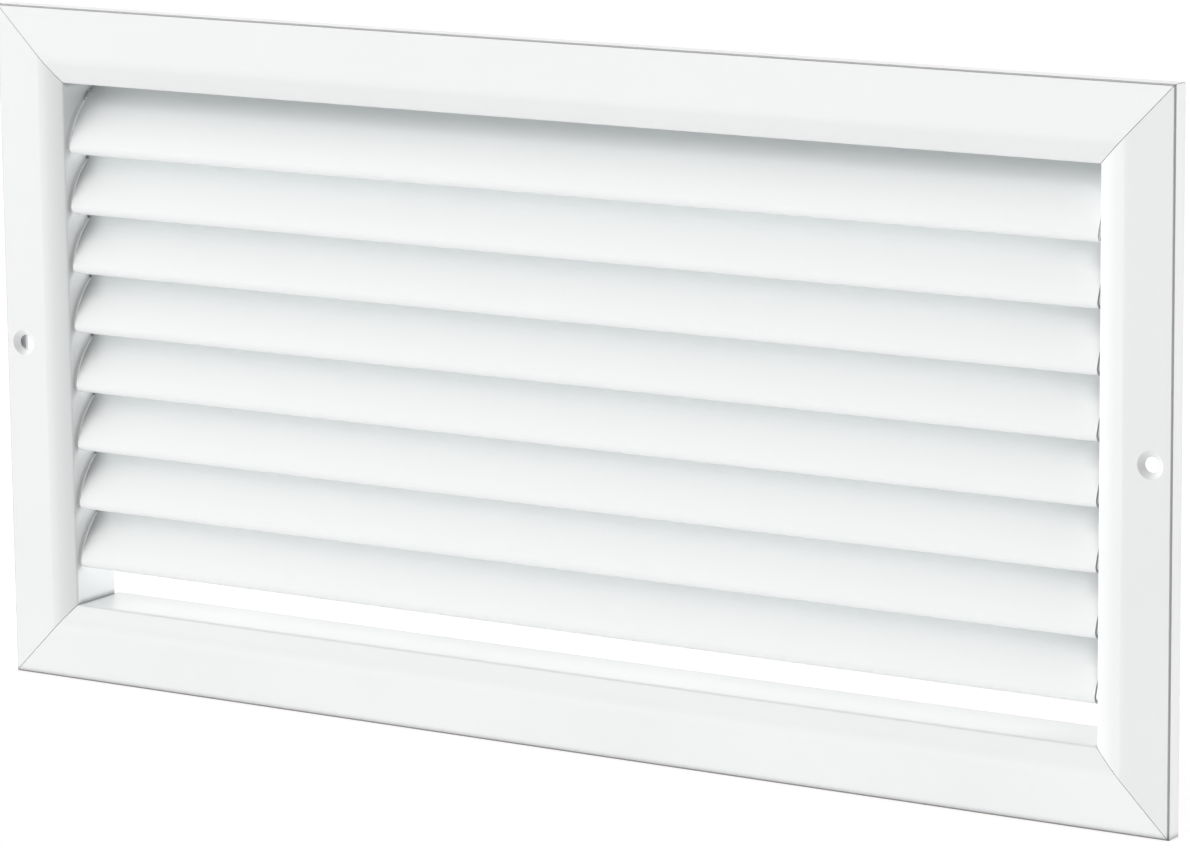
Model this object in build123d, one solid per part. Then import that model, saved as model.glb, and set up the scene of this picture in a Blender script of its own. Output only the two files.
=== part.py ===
"""Fixed-blade louvred air grille: a mitred frame of four extrusions, curved blades and corner keys.

Axes: +X to the right, +Y into the wall, +Z up. The origin is the middle of the opening, on the wall's
face. The front of the flange stands proud of the wall, at negative Y. All sizes are in millimetres.
"""
from build123d import *
import math
import os

# Frame, seen from the front
flange_width = 450.0
flange_height = 235.0
member_width = 26.2  # outer edge of the flange to the face of the airway
flat_width = 17.0  # flat outer band, before the crowned bevel starts
bevel_recess = 2.2  # how far the bevel falls back at the airway
bevel_crown = 0.42  # rise of the bevel's arc above its chord

# Frame, through its section
face_thickness = 1.6
rim_depth = 6.8  # return at the outer edge, which meets the wall
rim_wall = 1.3
rim_lip_reach = 2.5  # turned-in foot at the back of the rim, seen through the screw holes
rim_lip_thickness = 1.0
neck_wall = 1.4
head_neck_depth = 25.5  # top and bottom members, front face to the rear of the neck
side_neck_depth = 23.0  # side members, which stop short behind the blades
outer_edge_radius = 0.6
inner_edge_radius = 1.0
mitre_gap = 0.15

# Groove for the corner keys, behind the flange
key_groove_start = 13.0  # outer edge of the flange to the groove
hook_wall = 1.0
hook_reach = 1.2
key_width = 5.0
key_thickness = 2.0
key_leg = 42.0
key_end_chamfer = 1.5
key_clearance = 0.1

# Countersunk screw holes, one in each side member
hole_radius = 2.5
hole_inset = 7.4  # outer edge of the flange to the hole's centre
countersink_radius = 4.5
countersink_depth = 1.3

# Blades
blade_pitch = 20.7
blade_thickness = 1.1
blade_radius = 30.6  # middle of the sheet, along the main curve
blade_foot_angle = 73.5  # slope of the blade above its nose, from level
blade_rear_angle = 25.0  # slope at its rear edge
nose_radius = 1.8  # middle of the sheet, round the rolled front edge
nose_end_angle = 180.0  # the roll ends level, pointing to the rear
blade_setback = 0.9  # airway's front edge to the front of the nose
blade_end_gap = 1.3
bottom_gap = 13.0  # clear height under the lowest blade
least_top_gap = 2.0

# Tabs at the blade ends, staked through slots in the side members
tab_width = 2.6
tab_shares = (0.78, 0.94)  # middles of the tabs along the main curve, from the nose
tab_stand = 1.0
tab_clearance = 0.15

# Places that follow from the sizes above
front_y = -rim_depth
airway_width = flange_width - 2 * member_width
airway_height = flange_height - 2 * member_width
key_groove_end = key_groove_start + key_width + 2 * key_clearance
key_groove_depth = key_thickness + 2 * key_clearance
blade_length = airway_width - 2 * blade_end_gap


def member_section(neck_depth):
    """Section of a frame member: X runs from the outer edge to the airway, Y from the front to the rear."""
    lip_start, lip_end = rim_depth - rim_lip_thickness, rim_wall + rim_lip_reach
    hook_end = key_groove_end + hook_wall
    neck_back = member_width - neck_wall
    with BuildSketch() as section:
        with BuildLine():
            Line((0, rim_depth), (0, outer_edge_radius))
            RadiusArc((0, outer_edge_radius), (outer_edge_radius, 0), outer_edge_radius)
            Line((outer_edge_radius, 0), (flat_width, 0))
            SagittaArc((flat_width, 0), (member_width, bevel_recess), -bevel_crown)
            Polyline(
                (member_width, bevel_recess),
                (member_width, neck_depth),
                (neck_back, neck_depth),
                (neck_back, bevel_recess + face_thickness),
                (hook_end, face_thickness),
                (rim_wall, face_thickness),
                (rim_wall, lip_start),
                (lip_end, lip_start),
                (lip_end, rim_depth),
                (0, rim_depth),
            )
        make_face()
        bevel_end = section.vertices().sort_by_distance((member_width, bevel_recess))[0]
        fillet(bevel_end, inner_edge_radius)
        for wall_start, hook_start in (
            (key_groove_start - hook_wall, key_groove_start),
            (key_groove_end, key_groove_end - hook_reach),
        ):
            with Locations((wall_start, face_thickness)):
                Rectangle(hook_wall, key_groove_depth + hook_wall, align=(Align.MIN, Align.MIN))
            with Locations((hook_start, face_thickness + key_groove_depth)):
                Rectangle(hook_reach, hook_wall, align=(Align.MIN, Align.MIN))
    return section.sketch


def mitred_member(length, half_span, neck_depth):
    """Frame member lying along X below the opening, its outer edge at -half_span, mitred at both ends."""
    section_plane = Plane(origin=(0, front_y, -half_span), x_dir=(0, 0, 1), z_dir=(-1, 0, 0))
    bar = extrude(section_plane * member_section(neck_depth), length / 2, both=True)
    outer_half = length / 2 - mitre_gap / math.sqrt(2)
    inner_half = outer_half - member_width
    with BuildSketch(Plane.XZ) as mitres:
        Polygon(
            (-outer_half, -half_span),
            (outer_half, -half_span),
            (inner_half, member_width - half_span),
            (-inner_half, member_width - half_span),
            align=None,
        )
    return bar & extrude(mitres.sketch, neck_depth + rim_depth, both=True)


def screw_hole(side):
    """Cutter for the countersunk hole in the side member at the given side, -1 or 1."""
    plane = Plane(origin=(side * (flange_width / 2 - hole_inset), front_y, 0), z_dir=(0, 1, 0))
    from_front = (Align.CENTER, Align.CENTER, Align.MIN)
    bore = Cylinder(hole_radius, rim_depth, align=from_front)
    countersink = Cone(countersink_radius, hole_radius, countersink_depth, align=from_front)
    return plane * (bore + countersink)


def sheet_band(centre, radius, first_angle, last_angle, thickness):
    """Curved strip of sheet in section, between two slopes measured from level; Y is local X, Z is local Y."""
    outer, inner = radius + thickness / 2, radius - thickness / 2
    turn = last_angle - first_angle
    with BuildSketch(Plane.YZ) as band:
        with BuildLine():
            front = CenterArc(centre, outer, first_angle + 90, turn)
            back = CenterArc(centre, inner, first_angle + 90, turn)
            Line(front @ 0, back @ 0)
            Line(front @ 1, back @ 1)
        make_face()
    return band.sketch


def blade_centres(bottom_z):
    """Centres of the nose's roll and of the main curve, as (Y, Z), for a blade whose lowest point is bottom_z."""
    nose_reach = nose_radius + blade_thickness / 2
    nose = (front_y + bevel_recess + blade_setback + nose_reach, bottom_z + nose_reach)
    slope = math.radians(blade_foot_angle)
    step = blade_radius - nose_radius
    main = (nose[0] + step * math.sin(slope), nose[1] - step * math.cos(slope))
    return nose, main


def tab_bands(main_centre, clearance):
    """Sections of the end tabs, or of their slots when a clearance is given."""
    turn = blade_foot_angle - blade_rear_angle
    half_angle = math.degrees((tab_width / 2 + clearance) / blade_radius)
    middles = [blade_foot_angle - share * turn for share in tab_shares]
    thickness = blade_thickness + 2 * clearance
    return [
        sheet_band(main_centre, blade_radius, middle - half_angle, middle + half_angle, thickness)
        for middle in middles
    ]


def blade(bottom_z):
    """One blade: rolled nose, main curve, and tabs at both ends."""
    nose_centre, main_centre = blade_centres(bottom_z)
    section = sheet_band(main_centre, blade_radius, blade_rear_angle, blade_foot_angle, blade_thickness)
    section += sheet_band(nose_centre, nose_radius, blade_foot_angle, nose_end_angle, blade_thickness)
    solid = extrude(section, blade_length / 2, both=True)
    tab_reach = airway_width / 2 + neck_wall + tab_stand
    for tab in tab_bands(main_centre, 0):
        solid += extrude(tab, tab_reach, both=True)
    return solid


def tab_slots(bottom_z, side):
    """Cutter for the slots that one blade's tabs pass through, in the side member at -1 or 1."""
    _, main_centre = blade_centres(bottom_z)
    through_wall = Pos(side * airway_width / 2, 0, 0)
    return [through_wall * extrude(s, 2 * neck_wall, both=True) for s in tab_bands(main_centre, tab_clearance)]


def corner_key():
    """L-shaped key for the lower left corner, lying in the grooves of both members."""
    corner = key_groove_start + key_clearance
    with BuildSketch() as outline:
        Rectangle(key_leg, key_width, align=(Align.MIN, Align.MIN))
        Rectangle(key_width, key_leg, align=(Align.MIN, Align.MIN))
        leg_ends = outline.vertices().filter_by(lambda v: max(v.X, v.Y) > key_leg - key_width / 2)
        chamfer(leg_ends, key_end_chamfer)
    place = Plane(
        origin=(corner - flange_width / 2, front_y + face_thickness + key_clearance, corner - flange_height / 2),
        x_dir=(0, 0, 1),
        z_dir=(0, 1, 0),
    )
    return extrude(place * outline.sketch, key_thickness)


_, main_centre = blade_centres(0)
blade_height = main_centre[1] + (blade_radius + blade_thickness / 2) * math.cos(math.radians(blade_rear_angle))
room_for_blades = airway_height - bottom_gap - blade_height - least_top_gap
blade_count = int(room_for_blades // blade_pitch) + 1
lowest_z = bottom_gap - airway_height / 2
blade_bottoms = [lowest_z + blade_pitch * row for row in reversed(range(blade_count))]

bottom_member = mitred_member(flange_width, flange_height / 2, head_neck_depth)
side_member = mitred_member(flange_height, flange_width / 2, side_neck_depth)
frame_left = Rot(0, 90, 0) * side_member - screw_hole(-1)
frame_right = Rot(0, -90, 0) * side_member - screw_hole(1)
for bottom_z in blade_bottoms:
    frame_left -= tab_slots(bottom_z, -1)
    frame_right -= tab_slots(bottom_z, 1)

lower_left_key = corner_key()
upper_left_key = mirror(lower_left_key, Plane.XY)

nodes = {
    "frame_top": Rot(0, 180, 0) * bottom_member,
    "frame_bottom": bottom_member,
    "frame_left": frame_left,
    "frame_right": frame_right,
    "corner_key_lower_left": lower_left_key,
    "corner_key_upper_left": upper_left_key,
    "corner_key_lower_right": mirror(lower_left_key, Plane.YZ),
    "corner_key_upper_right": mirror(upper_left_key, Plane.YZ),
}
for row, bottom_z in enumerate(blade_bottoms, start=1):
    nodes[f"louvre_blade_{row}"] = blade(bottom_z)

os.makedirs("parts", exist_ok=True)
for name, shape in nodes.items():
    export_step(shape, f"parts/{name}.step")
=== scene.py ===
"""Studio picture of a white louvred air grille: powder-coated frame and blades, plated corner keys."""
import math

import bpy
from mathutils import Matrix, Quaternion, Vector


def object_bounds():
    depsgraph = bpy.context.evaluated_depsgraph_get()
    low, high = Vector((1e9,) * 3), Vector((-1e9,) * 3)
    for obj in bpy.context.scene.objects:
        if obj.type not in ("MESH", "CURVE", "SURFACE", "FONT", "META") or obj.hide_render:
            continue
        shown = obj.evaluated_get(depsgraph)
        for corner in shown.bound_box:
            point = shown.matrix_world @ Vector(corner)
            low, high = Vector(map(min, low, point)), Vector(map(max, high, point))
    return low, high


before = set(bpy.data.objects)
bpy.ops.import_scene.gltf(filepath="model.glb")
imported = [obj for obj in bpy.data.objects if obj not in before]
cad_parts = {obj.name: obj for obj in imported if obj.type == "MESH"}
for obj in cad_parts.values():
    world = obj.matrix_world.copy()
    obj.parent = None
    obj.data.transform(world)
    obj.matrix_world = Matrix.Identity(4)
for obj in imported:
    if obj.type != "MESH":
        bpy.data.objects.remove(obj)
cad_low, cad_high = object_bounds()

# Camera: where it looks from, round the point it aims at. Metres and degrees.
AIM = Vector((0.0168, -0.0068, -0.0063))
AZIMUTH = 32.6
ELEVATION = 11.0
ROLL = -0.6
DISTANCE = 1.8057
LENS_MM = 168.5
SENSOR_MM = 36.0
VIEW_GAMMA = 0.86

# White powder coat: a tone and a gloss that drift slowly, and a fine orange peel
COAT_COLOUR = (0.816, 0.842, 0.847)
COAT_SHADE = (0.797, 0.826, 0.832)
COAT_ROUGHNESS = (0.36, 0.46)
COAT_IOR = 1.5
TOP_FILM_WEIGHT, TOP_FILM_ROUGHNESS = 0.12, 0.3
DRIFT_SCALE = 9.0
FRAME_STRETCH = (1.0, 1.0, 1.0)
BLADE_STRETCH = (0.15, 1.0, 1.0)  # draws the drift out along the blades
PEEL_SCALE = 900.0
PEEL_STRENGTH = 0.35
PEEL_HEIGHT = 0.00002

# Painted shade: a dark line painted along the sharp outer edge of the flange's front. The shares are of the
# edge's radius.
EDGE_SHADE = 0.42
EDGE_RADIUS = 0.0006
EDGE_ACROSS = (1.2, 0.7)
EDGE_BACK = (1.4, 0.9)

# Painted shade that makes the band of the right member, and the bevel of all four, a little darker
RIGHT_BAND_SHADE = 0.075
RIGHT_BAND = (0.2025, 0.2105)
BEVEL_SHADE = 0.05
BEVEL_START = 0.017  # outer edge of the flange to the bevel
BEVEL_EASE = 0.004
BEVEL_BACK = (0.0028, 0.0022)

# Painted shade: darker in narrow gaps and deep between the blades, by ambient occlusion
DEPTH_OPENNESS = (0.92, 0.5)
BLADE_DEPTH_REACH = 0.010
BLADE_DEPTH_SHADE = 0.50
TOP_BLADE_DEPTH_SHADE = 0.08
FRAME_DEPTH_REACH = 0.003
FRAME_DEPTH_SHADE = 0.45

# Plated steel of the corner keys
STEEL_COLOUR = (0.60, 0.61, 0.62)
STEEL_SHADE = 0.86
STEEL_ROUGHNESS = 0.38
SPANGLE_SCALE = 260.0

# Soft boxes, as azimuth, elevation and strength. The higher the power, the narrower each box.
LIGHT_COLOUR = (1.0, 0.976, 0.971)
SOFT_BOXES = (
    (-160.0, 8.0, 0.9),
    (-125.0, 8.0, 1.4),
    (-70.0, 8.0, 2.0),
    (-45.0, 8.0, 3.0),
    (122.0, 8.0, 3.8),
    (165.0, 8.0, 0.4),
    (-15.0, 45.0, 0.7),
    (160.0, 45.0, 0.6),
)
SOFT_BOX_POWER = 6.0

# Floor, with a glow of its own that goes from the first strength to the second between two places along Y
FLOOR_HALF = 6.0
FLOOR_GREY = 0.4
FLOOR_GLOW = (0.63, 0.70)
GLOW_TURN = (-0.7, -0.12)


def nodes_named(start):
    """The CAD objects whose names begin with the given text."""
    return [obj for name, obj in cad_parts.items() if name.startswith(start)]


def new_material(name):
    """A material with its node tree and main shader."""
    material = bpy.data.materials.new(name)
    material.use_nodes = True
    return material, material.node_tree, material.node_tree.nodes["Principled BSDF"]


def node(tree, kind, **values):
    """A shader node with some of its sockets set."""
    made = tree.nodes.new(kind)
    for key, value in values.items():
        made.inputs[key.replace("_", " ")].default_value = value
    return made


def object_place(tree):
    """The place of a surface point in the object's own axes."""
    return tree.nodes.new("ShaderNodeTexCoord").outputs["Object"]


def split_axes(tree, place):
    """The X, Y and Z of a place."""
    axes = tree.nodes.new("ShaderNodeSeparateXYZ")
    tree.links.new(place, axes.inputs["Vector"])
    return axes.outputs


def calculate(tree, operation, *values):
    """A sum with up to three values, each a node's output or a number."""
    made = tree.nodes.new("ShaderNodeMath")
    made.operation = operation
    for socket, value in zip(made.inputs, values):
        if isinstance(value, float):
            socket.default_value = value
        else:
            tree.links.new(value, socket)
    return made.outputs["Value"]


def colour_ramp(tree, source, low, high):
    """Maps a noise value on to a range of colours or greys."""
    ramp = tree.nodes.new("ShaderNodeValToRGB")
    for stop, position, colour in zip(ramp.color_ramp.elements, (0.3, 0.7), (low, high)):
        stop.position = position
        stop.color = (*colour, 1.0)
    tree.links.new(source, ramp.inputs["Fac"])
    return ramp.outputs["Color"]


def ramp_between(tree, value, start, end, low=0.0, high=1.0):
    """Eases from the low number to the high one as the value goes from start to end."""
    made = node(tree, "ShaderNodeMapRange", From_Min=start, From_Max=end, To_Min=low, To_Max=high)
    made.interpolation_type = "SMOOTHSTEP"
    tree.links.new(value, made.inputs["Value"])
    return made.outputs["Result"]


def outer_edge_shade(tree, place):
    """Painted shade mask: 1 on the rounded outer edge of the flange's front, where a dark line is painted,
    0 elsewhere.
    """
    axes = split_axes(tree, place)
    edges = []
    for axis, reach in (("X", cad_high.x), ("Z", cad_high.z)):
        outward = calculate(tree, "ABSOLUTE", axes[axis])
        edges.append(ramp_between(tree, outward, *(reach - share * EDGE_RADIUS for share in EDGE_ACROSS)))
    front = ramp_between(tree, axes["Y"], *(cad_low.y + share * EDGE_RADIUS for share in EDGE_BACK))
    return calculate(tree, "MULTIPLY", calculate(tree, "MAXIMUM", *edges), front)


def right_band_shade(tree, place):
    """Painted shade mask: 1 on the flat band of the right member, easing to 0 over its bevel."""
    return ramp_between(tree, split_axes(tree, place)["X"], *RIGHT_BAND)


def bevel(tree, place):
    """Painted shade mask: 1 on the bevel round the airway, 0 on the flat band and in the neck."""
    axes = split_axes(tree, place)
    past_flat = []
    for axis, reach in (("X", cad_high.x), ("Z", cad_high.z)):
        outward = calculate(tree, "ABSOLUTE", axes[axis])
        past_flat.append(calculate(tree, "SUBTRACT", outward, reach - BEVEL_START))
    inside = ramp_between(tree, calculate(tree, "MAXIMUM", *past_flat), 0.0, -BEVEL_EASE)
    front = ramp_between(tree, axes["Y"], *(cad_low.y + depth for depth in BEVEL_BACK))
    return calculate(tree, "MULTIPLY", inside, front)


def crevice_shade(reach):
    """Painted shade mask from ambient occlusion: 1 in gaps and deep between the blades, and 0 where nothing
    stands within the reach.
    """
    def mask(tree, place):
        openness = node(tree, "ShaderNodeAmbientOcclusion", Distance=reach)
        return ramp_between(tree, openness.outputs["AO"], *DEPTH_OPENNESS)
    return mask


def powder_coat(name, stretch, painted_shades):
    """Satin white powder coat. Each of the painted shades is a mask and how much of the white it takes
    away.
    """
    material, tree, shader = new_material(name)
    place = object_place(tree)

    spread = node(tree, "ShaderNodeMapping", Scale=stretch)
    tree.links.new(place, spread.inputs["Vector"])
    drift = node(tree, "ShaderNodeTexNoise", Scale=DRIFT_SCALE, Detail=3.0)
    tree.links.new(spread.outputs["Vector"], drift.inputs["Vector"])
    tone = colour_ramp(tree, drift.outputs["Fac"], COAT_SHADE, COAT_COLOUR)
    for mask, shade_amount in painted_shades:
        kept = calculate(tree, "MULTIPLY_ADD", mask(tree, place), -shade_amount, 1.0)
        shaded_tone = tree.nodes.new("ShaderNodeVectorMath")
        shaded_tone.operation = "SCALE"
        tree.links.new(tone, shaded_tone.inputs["Vector"])
        tree.links.new(kept, shaded_tone.inputs["Scale"])
        tone = shaded_tone.outputs["Vector"]
    tree.links.new(tone, shader.inputs["Base Color"])
    smooth, rough = COAT_ROUGHNESS
    gloss = colour_ramp(tree, drift.outputs["Fac"], (smooth, smooth, smooth), (rough, rough, rough))
    tree.links.new(gloss, shader.inputs["Roughness"])

    peel = node(tree, "ShaderNodeTexNoise", Scale=PEEL_SCALE, Detail=2.0)
    tree.links.new(place, peel.inputs["Vector"])
    bump = node(tree, "ShaderNodeBump", Strength=PEEL_STRENGTH, Distance=PEEL_HEIGHT)
    tree.links.new(peel.outputs["Fac"], bump.inputs["Height"])
    tree.links.new(bump.outputs["Normal"], shader.inputs["Normal"])
    shader.inputs["IOR"].default_value = COAT_IOR
    shader.inputs["Coat Weight"].default_value = TOP_FILM_WEIGHT
    shader.inputs["Coat Roughness"].default_value = TOP_FILM_ROUGHNESS
    return material


def plated_steel():
    """Zinc-plated pressed steel, with a faint mottled spangle."""
    material, tree, shader = new_material("plated_steel")
    spangle = node(tree, "ShaderNodeTexVoronoi", Scale=SPANGLE_SCALE)
    tree.links.new(object_place(tree), spangle.inputs["Vector"])
    darker = tuple(STEEL_SHADE * c for c in STEEL_COLOUR)
    tone = colour_ramp(tree, spangle.outputs["Distance"], darker, STEEL_COLOUR)
    tree.links.new(tone, shader.inputs["Base Color"])
    shader.inputs["Metallic"].default_value = 1.0
    shader.inputs["Roughness"].default_value = STEEL_ROUGHNESS
    return material


def dress(objects, material):
    """Gives each CAD object the material in place of its own."""
    for obj in objects:
        obj.data.materials.clear()
        obj.data.materials.append(material)


def heading(azimuth, elevation):
    """Unit vector for a direction: azimuth 0 is the room in front of the grille, 90 is its right."""
    turn, rise = math.radians(azimuth), math.radians(elevation)
    return Vector((math.sin(turn) * math.cos(rise), -math.cos(turn) * math.cos(rise), math.sin(rise)))


def studio_floor():
    """Plain white floor under the grille, lit a little from within so that it stays white."""
    half, z = FLOOR_HALF, cad_low.z
    corners = [(-half, -half, z), (half, -half, z), (half, half, z), (-half, half, z)]
    mesh = bpy.data.meshes.new("floor")
    mesh.from_pydata(corners, [], [(0, 1, 2, 3)])
    floor = bpy.data.objects.new("floor", mesh)
    bpy.context.collection.objects.link(floor)
    material, tree, shader = new_material("floor_white")
    shader.inputs["Base Color"].default_value = (FLOOR_GREY, FLOOR_GREY, FLOOR_GREY, 1.0)
    shader.inputs["Roughness"].default_value = 0.9
    shader.inputs["Specular IOR Level"].default_value = 0.1
    shader.inputs["Emission Color"].default_value = (*LIGHT_COLOUR, 1.0)
    glow = ramp_between(tree, split_axes(tree, object_place(tree))["Y"], *GLOW_TURN, *FLOOR_GLOW)
    tree.links.new(glow, shader.inputs["Emission Strength"])
    mesh.materials.append(material)


def studio_light():
    """Soft boxes all round, as wide lobes of light. The camera itself sees plain white beyond the floor."""
    world = bpy.data.worlds.new("studio")
    bpy.context.scene.world = world
    world.use_nodes = True
    tree = world.node_tree
    tent = tree.nodes["Background"]
    tent.inputs["Color"].default_value = (*LIGHT_COLOUR, 1.0)
    direction = tree.nodes.new("ShaderNodeTexCoord").outputs["Generated"]
    total = None
    for azimuth, elevation, strength in SOFT_BOXES:
        facing = tree.nodes.new("ShaderNodeVectorMath")
        facing.operation = "DOT_PRODUCT"
        facing.inputs[1].default_value = heading(azimuth, elevation)
        tree.links.new(direction, facing.inputs[0])
        above = calculate(tree, "MAXIMUM", facing.outputs["Value"], 0.0)
        lobe = calculate(tree, "MULTIPLY", calculate(tree, "POWER", above, SOFT_BOX_POWER), strength)
        total = lobe if total is None else calculate(tree, "ADD", total, lobe)
    tree.links.new(total, tent.inputs["Strength"])
    plain = node(tree, "ShaderNodeBackground", Color=(1.0, 1.0, 1.0, 1.0))
    seen = tree.nodes.new("ShaderNodeLightPath").outputs["Is Camera Ray"]
    either = tree.nodes.new("ShaderNodeMixShader")
    tree.links.new(seen, either.inputs["Fac"])
    tree.links.new(tent.outputs["Background"], either.inputs[1])
    tree.links.new(plain.outputs["Background"], either.inputs[2])
    tree.links.new(either.outputs["Shader"], tree.nodes["World Output"].inputs["Surface"])


def studio_camera():
    """Long lens, a little above the grille and to its right."""
    back = heading(AZIMUTH, ELEVATION)
    level = (-back).to_track_quat("-Z", "Y")
    data = bpy.data.cameras.new("camera")
    data.sensor_fit = "HORIZONTAL"
    data.sensor_width = SENSOR_MM
    data.lens = LENS_MM
    data.clip_end = 50.0
    camera = bpy.data.objects.new("camera", data)
    camera.location = AIM + back * DISTANCE
    camera.rotation_mode = "QUATERNION"
    camera.rotation_quaternion = level @ Quaternion((0, 0, 1), math.radians(ROLL))
    bpy.context.collection.objects.link(camera)
    bpy.context.scene.camera = camera


# Painted shades, each a mask and how much darker it makes the white
frame_painted_shades = [
    (outer_edge_shade, EDGE_SHADE),
    (bevel, BEVEL_SHADE),
    (crevice_shade(FRAME_DEPTH_REACH), FRAME_DEPTH_SHADE),
]
right_painted_shades = [*frame_painted_shades, (right_band_shade, RIGHT_BAND_SHADE)]
blade_painted_shades = [(crevice_shade(BLADE_DEPTH_REACH), BLADE_DEPTH_SHADE)]
top_blade_painted_shades = [(crevice_shade(BLADE_DEPTH_REACH), TOP_BLADE_DEPTH_SHADE)]

# The right member and the top blade then get a coat of their own, with the right band's painted shade and
# less painted shade deep on the top blade
dress(nodes_named("frame_"), powder_coat("frame_coat", FRAME_STRETCH, frame_painted_shades))
dress(nodes_named("frame_right"), powder_coat("frame_coat_right", FRAME_STRETCH, right_painted_shades))
dress(nodes_named("louvre_blade_"), powder_coat("blade_coat", BLADE_STRETCH, blade_painted_shades))
dress(nodes_named("louvre_blade_1"), powder_coat("blade_coat_top", BLADE_STRETCH, top_blade_painted_shades))
dress(nodes_named("corner_key_"), plated_steel())
studio_floor()
studio_light()
studio_camera()
bpy.context.scene.view_settings.view_transform = "Standard"
bpy.context.scene.view_settings.gamma = VIEW_GAMMA
